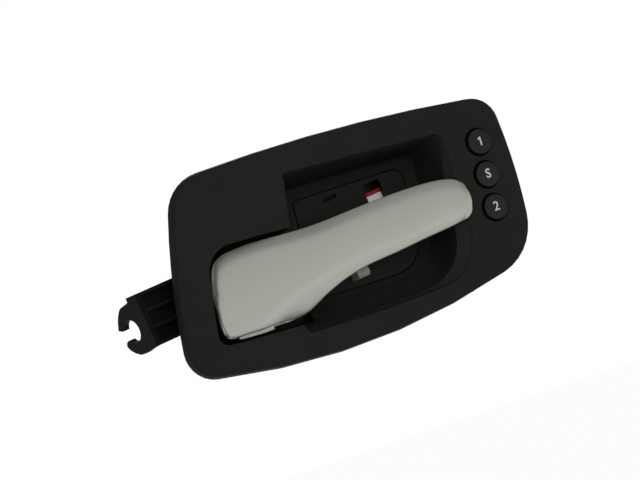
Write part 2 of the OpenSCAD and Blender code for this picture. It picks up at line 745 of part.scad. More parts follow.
module switch_cover() {
    color("#1a1b1a") difference() {
        union() {
            at_row() slab(module_back, module_back + cover_t) module_outline();
            at_row() slab(module_back - 1.6, module_back + 0.5) module_outline(1.8);
            for (p = module_bosses) slab(module_back + 0.2, ear_back) hull() {
                translate(p) circle(d = boss_d + 1, $fn = 32);
                translate(mix(p, button_row, 0.3)) circle(d = boss_d + 1, $fn = 32);
            }
            at_row() slab(module_back + 0.5, socket_back)
                square(2 * socket_half, center = true);
        }
        at_row() slab(module_back + cover_t, socket_back + 1)
            square(2 * socket_half - [2.4, 2.4], center = true);
        for (p = module_bosses) {
            post(p[0], p[1], module_back - 3, module_back + 0.1, boss_d + 0.4);
            post(p[0], p[1], module_back - 1, module_back + cover_t + 1, screw_d + 0.4);
            post(p[0], p[1], ear_back, module_back + cover_t + 1, head_d + 0.6);
        }
        at_row() for (x = pin_xs, z = [-1.5, 1.5])
            block([x - 0.5, module_back - 3, z - 0.5], [x + 0.5, module_back + 3, z + 0.5]);
    }
}
pin_xs = [-4.5, -1.5, 1.5, 4.5];
module connector_pins() {
    color("#c9a760") at_row() for (x = pin_xs, z = [-1.5, 1.5])
        block([x - 0.35, board_y + 1.6, z - 0.35], [x + 0.35, module_back + 6.5, z + 0.35]);
}

// Fasteners

module pan_screw(p, seat, length) {
    translate([p[0], seat, p[1]]) rotate([90, 0, 0]) difference() {
        rotate_extrude() polygon([[0, -2.2], [head_d / 2 - 1.2, -2.2], [head_d / 2 - 0.3, -1.5],
            [head_d / 2, -0.7], [head_d / 2, 0], [screw_d / 2, 0], [screw_d / 2, length - 1.2],
            [0.4, length], [0, length]]);
        for (a = [0, 90]) rotate([0, 0, a]) translate([-1.7, -0.35, -3]) cube([3.4, 0.7, 1.9]);
    }
}
module switch_screws() {
    color("#8b8c8b") for (p = module_bosses) pan_screw(p, ear_back, 10);
}
module carrier_screws() {
    color("#8b8c8b") for (p = boss_places) pan_screw(p, plate_back, 13);
}

// Spring clips pushed over the towers

clip_t = 0.6;
module clip(p) {
    half = tower_size[1] / 2 + 0.05;
    leg = [[half, 2], [half, tower_back + 0.05], [-half, tower_back + 0.05], [-half, 2],
        [-half - clip_t, 2], [-half - clip_t, 4], [-half - 2.2, 6.6], [-half - 2.2, 7.4],
        [-half - clip_t, 12], [-half - clip_t, tower_back + 0.05 + clip_t],
        [half + clip_t, tower_back + 0.05 + clip_t], [half + clip_t, 12], [half + 2.2, 7.4],
        [half + 2.2, 6.6], [half + clip_t, 4], [half + clip_t, 2]];
    translate([p[0] - 4, 0, p[1]]) rotate([90, 0, 90]) linear_extrude(8)
        polygon([for (q = leg) [q[1], q[0]]]);
}
module trim_clips() {
    color("#6f7170") for (p = tower_places) clip(p);
}

bezel();
carrier();
hinge_bracket();
cable_bracket();
slide_guide();
lever();
hinge_pin();
pin_clip();
return_spring();
rest_bumper();
lock_slide();
lock_indicator();
lock_spring();
button_1();
button_s();
button_2();
switch_housing();
button_pad();
circuit_board();
switch_cover();
connector_pins();
switch_screws();
carrier_screws();
trim_clips();
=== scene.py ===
# %% [markdown]
# # An interior door handle
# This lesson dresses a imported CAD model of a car's interior door handle: a black
# moulded bezel with a finger cup, a silver pull lever, three memory buttons and
# the mechanism behind them. The CAD solids give every size, so the scene adds
# finer surfaces, real finishes, soft light and the camera.

# %% Load the frame
import math

import bmesh
import bpy
from mathutils import Matrix, Vector
from mathutils.geometry import delaunay_2d_cdt


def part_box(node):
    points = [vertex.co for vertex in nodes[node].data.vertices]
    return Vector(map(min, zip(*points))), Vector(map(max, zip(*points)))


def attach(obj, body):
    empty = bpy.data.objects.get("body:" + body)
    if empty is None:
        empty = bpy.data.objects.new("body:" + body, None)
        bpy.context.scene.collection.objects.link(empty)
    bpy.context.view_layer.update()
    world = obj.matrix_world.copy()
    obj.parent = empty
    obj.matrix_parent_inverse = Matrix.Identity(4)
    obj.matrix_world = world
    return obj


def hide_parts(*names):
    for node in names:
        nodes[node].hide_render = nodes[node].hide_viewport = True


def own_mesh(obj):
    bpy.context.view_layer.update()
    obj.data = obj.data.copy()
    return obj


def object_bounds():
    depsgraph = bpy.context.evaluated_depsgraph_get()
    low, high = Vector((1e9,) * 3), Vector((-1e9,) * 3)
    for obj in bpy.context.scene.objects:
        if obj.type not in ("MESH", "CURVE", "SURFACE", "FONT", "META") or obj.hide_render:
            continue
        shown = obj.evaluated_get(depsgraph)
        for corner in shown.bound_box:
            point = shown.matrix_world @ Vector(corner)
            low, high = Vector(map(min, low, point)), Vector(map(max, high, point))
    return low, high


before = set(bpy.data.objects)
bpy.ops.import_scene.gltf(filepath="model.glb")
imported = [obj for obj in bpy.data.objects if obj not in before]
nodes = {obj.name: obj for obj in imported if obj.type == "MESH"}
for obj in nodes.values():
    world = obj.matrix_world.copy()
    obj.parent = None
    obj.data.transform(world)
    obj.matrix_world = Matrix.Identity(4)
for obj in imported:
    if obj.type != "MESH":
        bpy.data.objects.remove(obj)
cad_low, cad_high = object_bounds()

# %% [markdown]
# ## Small helpers
# Blender works in metres and in linear light. Drawings and colour pickers give
# millimetres and sRGB hex, so two short functions translate.

# %% Units and colour
MM = 0.001


def srgb(code):
    """Linear colour of an sRGB hex value, with full opacity."""
    parts = [int(code[i:i + 2], 16) / 255 for i in (1, 3, 5)]
    return [p / 12.92 if p <= 0.04045 else ((p + 0.055) / 1.055) ** 2.4 for p in parts] + [1.0]


def per_metre(size_mm):
    """Texture scale at which one cell of a pattern is size_mm across."""
    return 1000 / size_mm


print("bezel grey in linear light:", [round(c, 4) for c in srgb("#252623")[:3]])

# %% [markdown]
# A material is a small graph. One function adds a node, sets its properties and
# fills its sockets, with a plain value or with another node's output. A Mix node has
# one set of sockets for numbers and one for colours, so its sockets go by number.

# %% Add a node
FACTOR, NUMBER_A, NUMBER_B, COLOUR_A, COLOUR_B = 0, 2, 3, 6, 7
MIXED_NUMBER, MIXED_COLOUR = 0, 2


def add(tree, kind, sockets=None, **settings):
    made = tree.nodes.new(kind)
    for name, value in settings.items():
        setattr(made, name, value)
    for name, value in (sockets or {}).items():
        if isinstance(value, bpy.types.NodeSocket):
            tree.links.new(value, made.inputs[name])
        else:
            made.inputs[name].default_value = value
    return made


def start_material(name, **shader):
    """A material whose shader has these values, and the place of a point on the object."""
    material = bpy.data.materials.new(name)
    material.use_nodes = True
    tree = material.node_tree
    tree.nodes.clear()
    surface = add(tree, "ShaderNodeBsdfPrincipled")
    for key, value in shader.items():
        surface.inputs[key.replace("_", " ")].default_value = value
    add(tree, "ShaderNodeOutputMaterial", {"Surface": surface.outputs[0]})
    place = add(tree, "ShaderNodeTexCoord").outputs["Object"]
    return material, tree, surface, place


print("a Mix node takes numbers at", NUMBER_A, NUMBER_B, "and colours at", COLOUR_A, COLOUR_B)

# %% [markdown]
# ## Camera
# The photograph looks at the handle from its left and a little from below, with
# the camera rolled, so the handle rises to the right. A long lens keeps the
# perspective flat. The numbers come from matching the outline in the picture.

# %% Camera
IMAGE_WIDTH = 640
FOCAL_PX = 1755.6
SENSOR_MM = 36
NEAREST_M = 0.01
DISTANCE = 0.836
AIM = Vector((0, -5.6 * MM, 0))
AIM_OFFSET_PX = (30, 4)
azimuth, elevation, roll = (math.radians(a) for a in (-24, -2, 16.5))

back = Vector((math.sin(azimuth) * math.cos(elevation),
               -math.cos(azimuth) * math.cos(elevation),
               math.sin(elevation)))
level = (-back).cross(Vector((0, 0, 1))).normalized()
upright = level.cross(-back)
right = math.cos(roll) * level - math.sin(roll) * upright
up = math.sin(roll) * level + math.cos(roll) * upright
sight = (-back - right * AIM_OFFSET_PX[0] / FOCAL_PX
         - up * AIM_OFFSET_PX[1] / FOCAL_PX).normalized()
right = (right - sight * right.dot(sight)).normalized()
up = right.cross(sight)

lens = bpy.data.cameras.new("camera")
lens.sensor_width = SENSOR_MM
lens.lens = FOCAL_PX * SENSOR_MM / IMAGE_WIDTH
lens.clip_start = NEAREST_M
camera = bpy.data.objects.new("camera", lens)
turn = Matrix((right, up, -sight)).transposed()
camera.matrix_world = Matrix.Translation(AIM + back * DISTANCE) @ turn.to_4x4()
bpy.context.scene.collection.objects.link(camera)
bpy.context.scene.camera = camera
print(f"lens {lens.lens:.1f} mm at {DISTANCE} m")

# %% [markdown]
# ## Light and surroundings
# Product photographs use large soft lamps. Two light the front and one lights the
# back. The white background is only what the camera sees. Matt surfaces get a weak
# even light from it. Glossy ones mirror a white table below and a darker room above,
# and not the two front lamps, which is what models the silver lever.

# %% Lamps
bpy.context.scene.view_settings.view_transform = "Standard"


def soft_lamp(name, place, watts, size, mirrored):
    """A square lamp aimed at the handle, seen in glossy surfaces only if mirrored."""
    lamp = bpy.data.lights.new(name, "AREA")
    lamp.energy = watts
    lamp.size = size
    holder = bpy.data.objects.new(name, lamp)
    holder.location = place
    holder.rotation_euler = (-Vector(place)).to_track_quat("-Z", "Y").to_euler()
    holder.visible_glossy = mirrored
    bpy.context.scene.collection.objects.link(holder)
    return holder


key_lamp = soft_lamp("key_lamp", (-0.1, -1.25, 0.5), 10, 1.6, mirrored=False)
fill_lamp = soft_lamp("fill_lamp", (0.3, -1.0, -1.0), 1.5, 0.9, mirrored=False)
rim_lamp = soft_lamp("rim_lamp", (0.5, 1.0, 0.6), 2.5, 0.7, mirrored=True)
print("lamps:", key_lamp.data.energy, fill_lamp.data.energy, rim_lamp.data.energy)

# %% [markdown]
# The world answers by the kind of ray that asks. The camera and clear materials see
# plain white. A mirror direction sees the table up to a little below the horizon,
# then fades to the room. Every other ray gets the weak even light.

# %% World
WHITE = (1, 1, 1, 1)
AMBIENT = 0.3
TABLE_GLOSS = 1.0
ROOM_GLOSS = 0.2
TABLE_END = -0.2
ROOM_START = 0.6
world = bpy.data.worlds.new("studio")
world.use_nodes = True
sky = world.node_tree
sky.nodes.clear()
ray = add(sky, "ShaderNodeLightPath").outputs
seen = add(sky, "ShaderNodeMath", {0: ray["Is Camera Ray"], 1: ray["Is Transmission Ray"]},
           operation="MAXIMUM")
heading = add(sky, "ShaderNodeTexCoord").outputs["Generated"]
height = add(sky, "ShaderNodeSeparateXYZ", {"Vector": heading}).outputs["Z"]
mirrored = add(sky, "ShaderNodeMapRange", {
    "Value": height, "From Min": TABLE_END, "From Max": ROOM_START,
    "To Min": TABLE_GLOSS, "To Max": ROOM_GLOSS})
ambient = add(sky, "ShaderNodeMix", {
    FACTOR: ray["Is Glossy Ray"], NUMBER_A: AMBIENT, NUMBER_B: mirrored.outputs[0]},
    data_type="FLOAT")
strength = add(sky, "ShaderNodeMix", {
    FACTOR: seen.outputs[0], NUMBER_A: ambient.outputs[MIXED_NUMBER], NUMBER_B: 1.0},
    data_type="FLOAT")
backdrop = add(sky, "ShaderNodeBackground", {
    "Color": WHITE, "Strength": strength.outputs[MIXED_NUMBER]})
add(sky, "ShaderNodeOutputWorld", {"Surface": backdrop.outputs[0]})
bpy.context.scene.world = world
print("even light", AMBIENT, "table", TABLE_GLOSS, "room", ROOM_GLOSS)

# %% [markdown]
# The handle hangs in the air in front of white, as in the photograph, so the
# floor lies well below it. It is a pale sheet that still takes a faint shadow, and
# glossy surfaces mirror it as the lit table.

# %% Floor
FLOOR_DROP = 0.6
FLOOR_REACH = 6.0
FLOOR_GLOW = 0.97
floor_mesh = bpy.data.meshes.new("floor")
corners = [(a * FLOOR_REACH, b * FLOOR_REACH, 0) for a, b in ((-1, -1), (1, -1), (1, 1), (-1, 1))]
floor_mesh.from_pydata(corners, [], [(0, 1, 2, 3)])
floor = bpy.data.objects.new("floor", floor_mesh)
floor.location.z = cad_low.z - FLOOR_DROP
bpy.context.scene.collection.objects.link(floor)
paper = bpy.data.materials.new("white_paper_sweep")
paper.use_nodes = True
sheet = paper.node_tree
sheet.nodes.clear()
ray = add(sheet, "ShaderNodeLightPath").outputs
glowing = add(sheet, "ShaderNodeMath", {
    0: ray["Is Camera Ray"], 1: FLOOR_GLOW, 2: ray["Is Glossy Ray"]}, operation="MULTIPLY_ADD")
brightness = add(sheet, "ShaderNodeMix", {
    FACTOR: ray["Is Glossy Ray"], NUMBER_A: 1.0, NUMBER_B: TABLE_GLOSS}, data_type="FLOAT")
matt = add(sheet, "ShaderNodeBsdfDiffuse", {"Color": srgb("#f2f2f0")})
glow = add(sheet, "ShaderNodeEmission", {
    "Color": WHITE, "Strength": brightness.outputs[MIXED_NUMBER]})
mixed = add(sheet, "ShaderNodeMixShader", {
    0: glowing.outputs[0], 1: matt.outputs[0], 2: glow.outputs[0]})
add(sheet, "ShaderNodeOutputMaterial", {"Surface": mixed.outputs[0]})
floor_mesh.materials.append(paper)
print("floor at z =", round(floor.location.z, 3))

# %% [markdown]
# ## Finishes
# Every plastic piece is injection-moulded, so one function makes them all: a broad
# cloud of two close tones, a fine grain that speckles the tone, and the same grain as
# relief. A zone gives one moulding a second colour between two depths or heights,
# which on the carrier and on the buttons is painted shade.

# %% Moulded plastic
CLOUD_MM = 28
SPECK_DARK = (0.8, 0.8, 0.8, 1)
SPECK_LIGHT = (1.15, 1.15, 1.15, 1)
PLASTIC_IOR = 1.5


def recoloured(tree, place, axis, low_mm, high_mm, colour, other):
    """The colour, changed to the other one where a coordinate lies between two values."""
    value = add(tree, "ShaderNodeSeparateXYZ", {"Vector": place}).outputs[axis]
    above = add(tree, "ShaderNodeMath", {0: value, 1: low_mm * MM}, operation="GREATER_THAN")
    below = add(tree, "ShaderNodeMath", {0: value, 1: high_mm * MM}, operation="LESS_THAN")
    inside = add(tree, "ShaderNodeMath", {0: above.outputs[0], 1: below.outputs[0]},
                 operation="MULTIPLY")
    mixed = add(tree, "ShaderNodeMix", {
        FACTOR: inside.outputs[0], COLOUR_A: colour, COLOUR_B: srgb(other)}, data_type="RGBA")
    return mixed.outputs[MIXED_COLOUR]


def moulded_plastic(name, dark, light, grain_mm, relief, roughness, specular=0.12, zone=()):
    material, tree, surface, place = start_material(
        name, Roughness=roughness, IOR=PLASTIC_IOR, Specular_IOR_Level=specular)
    cloud = add(tree, "ShaderNodeTexNoise", {
        "Vector": place, "Scale": per_metre(CLOUD_MM), "Detail": 3.0})
    grain = add(tree, "ShaderNodeTexNoise", {
        "Vector": place, "Scale": per_metre(grain_mm), "Detail": 2.0})
    tone = add(tree, "ShaderNodeMix", {
        FACTOR: cloud.outputs[0], COLOUR_A: srgb(dark), COLOUR_B: srgb(light)},
        data_type="RGBA")
    speck = add(tree, "ShaderNodeMix", {
        FACTOR: grain.outputs[0], COLOUR_A: SPECK_DARK, COLOUR_B: SPECK_LIGHT},
        data_type="RGBA")
    speckled = add(tree, "ShaderNodeMix", {
        FACTOR: 1.0, COLOUR_A: tone.outputs[MIXED_COLOUR], COLOUR_B: speck.outputs[MIXED_COLOUR]},
        data_type="RGBA", blend_type="MULTIPLY")
    colour = speckled.outputs[MIXED_COLOUR]
    if zone:
        colour = recoloured(tree, place, *zone[:3], colour, zone[3])
    tree.links.new(colour, surface.inputs["Base Color"])
    bump = add(tree, "ShaderNodeBump", {
        "Height": grain.outputs[0], "Distance": relief * MM, "Strength": 0.5})
    tree.links.new(bump.outputs[0], surface.inputs["Normal"])
    return material


print("plastic tone changes every", CLOUD_MM, "mm")

# %% [markdown]
# The bezel is ABS from a tool with an eroded grain, which kills glare and leaves an
# even dark grey. The real grain is about 0.2 mm, too fine for the picture, so it is
# drawn at 0.7 mm. The carrier, the arm and the hinge are nylon filled with glass
# fibre, smoother and blacker. The pockets in the carrier's panel are painted black
# from 17.7 to 21 mm deep, as painted shade.

# %% Bezel, carrier and arm
grained_abs = moulded_plastic("grained_abs", "#242522", "#292a26", 0.7, 0.05, 0.55, 0.03)
# The zone from 17.7 to 21 mm deep is painted shade: the panel's pockets are painted black.
panel_nylon_and_painted_shade = moulded_plastic("panel_nylon_and_painted_shade", "#161715", "#1d1e1c", 1.2, 0.06, 0.45,
                              zone=("Y", 17.7, 21.0, "#000000"))
arm_nylon = moulded_plastic("arm_nylon", "#121311", "#171816", 1.2, 0.06, 0.5, 0.05)
glass_filled_nylon = moulded_plastic("glass_filled_nylon", "#121311", "#191a18", 1.2, 0.06, 0.42)
print("blacks:", grained_abs.name, panel_nylon_and_painted_shade.name, arm_nylon.name, glass_filled_nylon.name)

# %% [markdown]
# The switch module is PBT, which stays true beside solder heat. The buttons have a
# soft-touch lacquer, velvety on top; down their sides they are painted near black as
# painted shade. The slide is acetal, which is waxy and grey, and it is coloured white
# above the tab's height. The red band is ABS. Pad and buffer are rubbers, the mattest
# pieces of all. Their grains are all finer than the picture shows, so they are drawn
# at 0.8 to 1.5 mm.

# %% Switch, slide and rubbers
module_pbt = moulded_plastic("module_pbt", "#131413", "#181918", 1.0, 0.03, 0.4)
# The zone behind the crown is painted shade: the buttons' sides are painted near black.
button_soft_touch_and_painted_shade = moulded_plastic("button_soft_touch_and_painted_shade", "#232422", "#292a28", 0.8, 0.02, 0.42,
                                    zone=("Y", -7.6, 20, "#040404"))
# The zone above 3 mm height makes the slide white; below it the slide stays grey.
acetal_grey = moulded_plastic("acetal_grey", "#a9a99e", "#b8b8ad", 1.5, 0.02, 0.4,
                              zone=("Z", 3, 40, "#f0f0ec"))
indicator_abs = moulded_plastic("indicator_abs", "#9c1f2a", "#a52530", 1.5, 0.02, 0.35)
silicone = moulded_plastic("silicone_rubber", "#383936", "#40413e", 0.9, 0.04, 0.7)
buffer_rubber = moulded_plastic("buffer_rubber", "#0f0f0f", "#151515", 0.9, 0.06, 0.75)
print("module and slide:", module_pbt.name, button_soft_touch_and_painted_shade.name, acetal_grey.name)

# %% [markdown]
# Metal parts are drawn, stamped or turned. Their tool marks run one way and stretch
# the highlight. The pin is ground and bright, the clips are phosphated and grey, the
# spring is drawn wire, the screws are zinc plated and the pins are tinned brass. The
# real marks are hundredths of a millimetre wide and are drawn 1.2 to 2.4 mm wide.

# %% Worked metals
MARK_STRETCH = (1.0, 6.0, 1.0)
MARK_RELIEF_MM = 0.01


def worked_metal(name, dark, light, mark_mm, roughness):
    material, tree, surface, place = start_material(name, Metallic=1.0, Roughness=roughness)
    stretched = add(tree, "ShaderNodeMapping", {"Vector": place, "Scale": MARK_STRETCH})
    marks = add(tree, "ShaderNodeTexNoise", {
        "Vector": stretched.outputs[0], "Scale": per_metre(mark_mm), "Detail": 4.0})
    tone = add(tree, "ShaderNodeMix", {
        FACTOR: marks.outputs[0], COLOUR_A: srgb(dark), COLOUR_B: srgb(light)},
        data_type="RGBA")
    tree.links.new(tone.outputs[MIXED_COLOUR], surface.inputs["Base Color"])
    haze = add(tree, "ShaderNodeMapRange", {
        "Value": marks.outputs[0], "To Min": roughness - 0.06, "To Max": roughness + 0.1})
    tree.links.new(haze.outputs[0], surface.inputs["Roughness"])
    bump = add(tree, "ShaderNodeBump", {
        "Height": marks.outputs[0], "Distance": MARK_RELIEF_MM * MM, "Strength": 0.5})
    tree.links.new(bump.outputs[0], surface.inputs["Normal"])
    return material


ground_steel = worked_metal("ground_steel", "#b0b1b0", "#c4c5c4", 1.6, 0.28)
phosphated_steel = worked_metal("phosphated_steel", "#5d5e5d", "#7a7b7a", 2.4, 0.45)
drawn_wire = worked_metal("drawn_wire", "#8f9090", "#aeafae", 1.2, 0.3)
zinc_plate = worked_metal("zinc_plated_steel", "#9a9c9a", "#bcbdb9", 2.0, 0.32)
tinned_brass = worked_metal("tinned_brass", "#c2a25c", "#d9bd7c", 1.8, 0.28)
print("metals:", ground_steel.name, phosphated_steel.name, drawn_wire.name)

# %% [markdown]
# The lever is a casting with satin silver paint. Its fine metal flake scatters
# the light, so the paint looks like a bright grey with a wide, weak highlight. Real
# flake is some hundredths of a millimetre, so it is drawn at 0.5 mm.

# %% Silver paint
FLAKE_MM = 0.5
PAINT_CLOUD_MM = 35
FLAKE_DARK = (0.92, 0.92, 0.92, 1)
FLAKE_LIGHT = (1.08, 1.08, 1.08, 1)
FLAKE_RELIEF_MM = 0.008
silver_paint, tree, surface, place = start_material(
    "satin_silver_paint", Metallic=0.72, Roughness=0.4, IOR=1.5, Specular_IOR_Level=0.4)
flake = add(tree, "ShaderNodeTexNoise", {
    "Vector": place, "Scale": per_metre(FLAKE_MM), "Detail": 2.0})
cloud = add(tree, "ShaderNodeTexNoise", {
    "Vector": place, "Scale": per_metre(PAINT_CLOUD_MM), "Detail": 2.0})
base = add(tree, "ShaderNodeMix", {
    FACTOR: cloud.outputs[0], COLOUR_A: srgb("#b2b2aa"), COLOUR_B: srgb("#bbbbb3")},
    data_type="RGBA")
glint = add(tree, "ShaderNodeMix", {
    FACTOR: flake.outputs[0], COLOUR_A: FLAKE_DARK, COLOUR_B: FLAKE_LIGHT},
    data_type="RGBA")
paint = add(tree, "ShaderNodeMix", {
    FACTOR: 1.0, COLOUR_A: base.outputs[MIXED_COLOUR], COLOUR_B: glint.outputs[MIXED_COLOUR]},
    data_type="RGBA", blend_type="MULTIPLY")
tree.links.new(paint.outputs[MIXED_COLOUR], surface.inputs["Base Color"])
bump = add(tree, "ShaderNodeBump", {
    "Height": flake.outputs[0], "Distance": FLAKE_RELIEF_MM * MM, "Strength": 0.4})
tree.links.new(bump.outputs[0], surface.inputs["Normal"])
print("paint flake drawn at", FLAKE_MM, "mm")

# %% [markdown]
# The circuit board is glass-fibre laminate under green solder mask. Broad tracks
# show through the mask as slightly lighter bands.

# %% Solder mask
TRACK_PITCH_MM = 2.4
TRACK_GAP = 0.1
solder_mask, tree, surface, place = start_material(
    "solder_mask_on_laminate", Roughness=0.3, IOR=1.5)
tracks = add(tree, "ShaderNodeTexBrick", {
    "Vector": place, "Scale": per_metre(TRACK_PITCH_MM), "Color1": srgb("#1d4a31"),
    "Color2": srgb("#245a3b"), "Mortar": srgb("#17402a"), "Mortar Size": TRACK_GAP})
tree.links.new(tracks.outputs["Color"], surface.inputs["Base Color"])
print("tracks every", TRACK_PITCH_MM, "mm")

# %% [markdown]
# ## Dress the CAD solids
# The small technical parts already have their true shape in the CAD, so they keep
# it. A real moulding has no perfectly sharp edge. A narrow bevel modifier rounds
# every edge that turns by more than 35 degrees. Each node gets its finish and the
# width of that rounding in millimetres. On the bezel, Blender clamps the width to
# nothing, because some edges there are too short for it. The bevel then rounds
# nothing, but its strips still keep the normals of neighbouring faces apart.

# %% Finish and soft edge of each node
FINISHES = {
    "bezel": (grained_abs, 0.3),
    "carrier": (panel_nylon_and_painted_shade, 0.4),
    "hinge_bracket": (glass_filled_nylon, 0.2),
    "cable_bracket": (arm_nylon, 0.25),
    "slide_guide": (glass_filled_nylon, 0.15),
    "lever": (silver_paint, 0.4),
    "hinge_pin": (ground_steel, 0.15),
    "pin_clip": (phosphated_steel, 0.08),
    "return_spring": (drawn_wire, 0),
    "rest_bumper": (buffer_rubber, 0.3),
    "lock_slide": (acetal_grey, 0.2),
    "lock_indicator": (indicator_abs, 0.1),
    "lock_spring": (phosphated_steel, 0.05),
    "button_1": (button_soft_touch_and_painted_shade, 0.2),
    "button_s": (button_soft_touch_and_painted_shade, 0.2),
    "button_2": (button_soft_touch_and_painted_shade, 0.2),
    "switch_housing": (module_pbt, 0.25),
    "button_pad": (silicone, 0.15),
    "circuit_board": (solder_mask, 0.08),
    "switch_cover": (module_pbt, 0.25),
    "connector_pins": (tinned_brass, 0.06),
    "switch_screws": (zinc_plate, 0.1),
    "carrier_screws": (zinc_plate, 0.1),
    "trim_clips": (phosphated_steel, 0.08),
}
print("finishes for", len(FINISHES), "nodes")

# %% [markdown]
# Two modifiers end the stack: the bevel, and weighted normals, which keep flat
# faces looking flat beside the rounding. The new pieces use the same function.


# %% Soften edges
def smooth_shading(piece):
    for face in piece.data.polygons:
        face.use_smooth = True


def soften_edges(piece, width_mm, angle):
    """Rounds every edge that turns by more than the angle in degrees, and evens the shading."""
    if width_mm:
        bevel = piece.modifiers.new("soft_edges", "BEVEL")
        bevel.width = width_mm * MM
        bevel.segments = 2
        bevel.limit_method = "ANGLE"
        bevel.angle_limit = math.radians(angle)
    smooth_shading(piece)
    even = piece.modifiers.new("even_shading", "WEIGHTED_NORMAL")
    even.keep_sharp = True


# %% [markdown]
# The mouth of the finger cup has a wider lip than the other edges. Its vertices are
# the ones in the plane of the bezel's face and inside a window round the cup, and a
# bevel limited to their group rounds them. The face is a fan of thin triangles at
# first, so coplanar ones are dissolved before it.

# %% Lip of the finger cup
LIP_MM = 1.6
COPLANAR_DEGREES = 0.5
IN_PLANE_MM = 0.02
CUP_X = (-25, 65)
CUP_Z = (-40, 38)
APERTURE_FOOT_Z = -36


def cup_lip(piece):
    """Indices of the vertices on the cup's mouth, in the plane of the bezel's face."""
    face_y = min(v.co.y for v in piece.data.vertices)
    chosen = []
    for v in piece.data.vertices:
        x, y, z = v.co / MM
        in_plane = abs(y - face_y / MM) < IN_PLANE_MM
        in_width = CUP_X[0] < x < CUP_X[1] or (x < 0 and z < APERTURE_FOOT_Z)
        if in_plane and in_width and CUP_Z[0] < z < CUP_Z[1]:
            chosen.append(v.index)
    return chosen


def round_cup_lip(piece):
    lip = cup_lip(piece)
    piece.vertex_groups.new(name="lip").add(lip, 1.0, "REPLACE")
    flat_faces = piece.modifiers.new("flat_faces", "DECIMATE")
    flat_faces.decimate_type = "DISSOLVE"
    flat_faces.angle_limit = math.radians(COPLANAR_DEGREES)
    round_lip = piece.modifiers.new("round_lip", "BEVEL")
    round_lip.width = LIP_MM * MM
    round_lip.segments = 4
    round_lip.limit_method = "VGROUP"
    round_lip.vertex_group = "lip"
    round_lip.use_clamp_overlap = False
    return len(lip)


# %% [markdown]
# A CAD mesh has a vertex of its own for each face at a corner. A weld joins them
# first, because a bevel only rounds an edge that two faces share.

# %% Dress every node
WELD_MM = 0.002
CAD_SOFT_ANGLE = 35
for name, (finish, width) in FINISHES.items():
    piece = nodes[name]
    piece.data.materials.clear()
    piece.data.materials.append(finish)
    weld = piece.modifiers.new("join_faces", "WELD")
    weld.merge_threshold = WELD_MM * MM
    if name == "bezel":
        print("vertices on the cup's lip:", round_cup_lip(piece))
    soften_edges(piece, width, CAD_SOFT_ANGLE)
print("dressed", len(FINISHES), "CAD solids")

# %% [markdown]
# ## The lever's painted face
# The pull lever is the piece that the eye and the hand go to. Its face is one
# flowing casting: a broad root, a waist and a grip that tapers to a blunt tip. The
# CAD skins it over a few stations. Here the same stations feed a smooth curve, and
# the face is a height field over the outline, so the bevel along the top edge, the
# rounded lower edge and the crease at the waist all run true.

# %% Stations of the lever
LEVER_STATIONS = [
    (-72.6, -12, -26.3, -1.8, 1.5), (-71.3, -4, -30, -2.2, 1.5), (-68, 4.4, -31.2, -2.8, 1.5),
    (-62, 7.7, -31.1, -3.2, 1.5), (-54, 9, -31.1, -4.2, 1.5), (-44, 9.4, -30.9, -6, 1.5),
    (-36, 9.5, -30.6, -7.6, 1.5), (-28.5, 9.4, -28.8, -9, 1), (-20, 9.6, -24, -10.4, -0.4),
    (-10, 10.4, -19.5, -11.6, -1.6), (4, 12, -15.8, -12.2, -2.6), (20, 13.5, -13.7, -12.45, -3),
    (36, 14.5, -11.2, -12.3, -2.8), (48, 14.7, -9.6, -11.7, -2), (57, 13.8, -8.2, -11, -4.6),
    (62.5, 12, -6.8, -10, -6.6), (65.6, 8.8, -4.2, -9.2, -6.9)]
TOP, BOTTOM, FRONT, BACK = 1, 2, 3, 4


def along(table, column, x):
    """Smooth value of a column at x: a cubic through the stations with averaged slopes."""
    x = min(max(x, table[0][0]), table[-1][0])
    i = max(k for k in range(len(table) - 1) if table[k][0] <= x)
    a, b = table[i], table[i + 1]
    span = b[0] - a[0]
    t = (x - a[0]) / span

    def slope(k):
        lo, hi = table[max(k - 1, 0)], table[min(k + 1, len(table) - 1)]
        return (hi[column] - lo[column]) / (hi[0] - lo[0])

    return (a[column] * (2 * t**3 - 3 * t**2 + 1) + slope(i) * span * (t**3 - 2 * t**2 + t)
            + b[column] * (3 * t**2 - 2 * t**3) + slope(i + 1) * span * (t**3 - t**2))


def lever_at(column, x):
    return along(LEVER_STATIONS, column, x)


print("grip front at mid length:", round(lever_at(FRONT, 10), 2), "mm")

# %% [markdown]
# The outline is a closed curve through the stations' ends and one point more at
# either end. A centripetal Catmull-Rom curve passes through every point without
# loops or overshoot.

# %% Outline of the lever
OUTLINE_STEP_MM = 1.1
TIP_POINT = (66.7, 2.6)
ROOT_POINT = (-72.7, -18.5)


def closed_curve(points, step):
    """Points about step apart on a smooth closed curve through the given points."""
    out = []
    n = len(points)
    for i in range(n):
        p = [Vector(points[(i + k) % n]) for k in (-1, 0, 1, 2)]
        knots = [0.0]
        for a, b in zip(p, p[1:]):
            knots.append(knots[-1] + math.sqrt((b - a).length))
        count = max(2, round((p[2] - p[1]).length / step))
        for k in range(count):
            t = knots[1] + (knots[2] - knots[1]) * k / count
            level = p
            for depth in (1, 2, 3):
                level = [(level[j] * (knots[j + depth] - t) + level[j + 1] * (t - knots[j]))
                         / (knots[j + depth] - knots[j]) for j in range(len(level) - 1)]
            out.append(level[0])
    return out


upper_side = [(s[0], s[TOP]) for s in LEVER_STATIONS]
lower_side = [(s[0], s[BOTTOM]) for s in reversed(LEVER_STATIONS)]
lever_outline = closed_curve(upper_side + [TIP_POINT] + lower_side + [ROOT_POINT],
                             OUTLINE_STEP_MM)
print("lever outline:", len(lever_outline), "points")

# %% [markdown]
# The height of the face starts from the front of the stations. Near the top edge
# a shallow bevel turns it away. Along the lower edge it curves back more fully, and
# at the waist that curve opens into a facet, with a soft ridge where the two meet.
# At the thin tip the face stops short of the back, so that a rim is left.

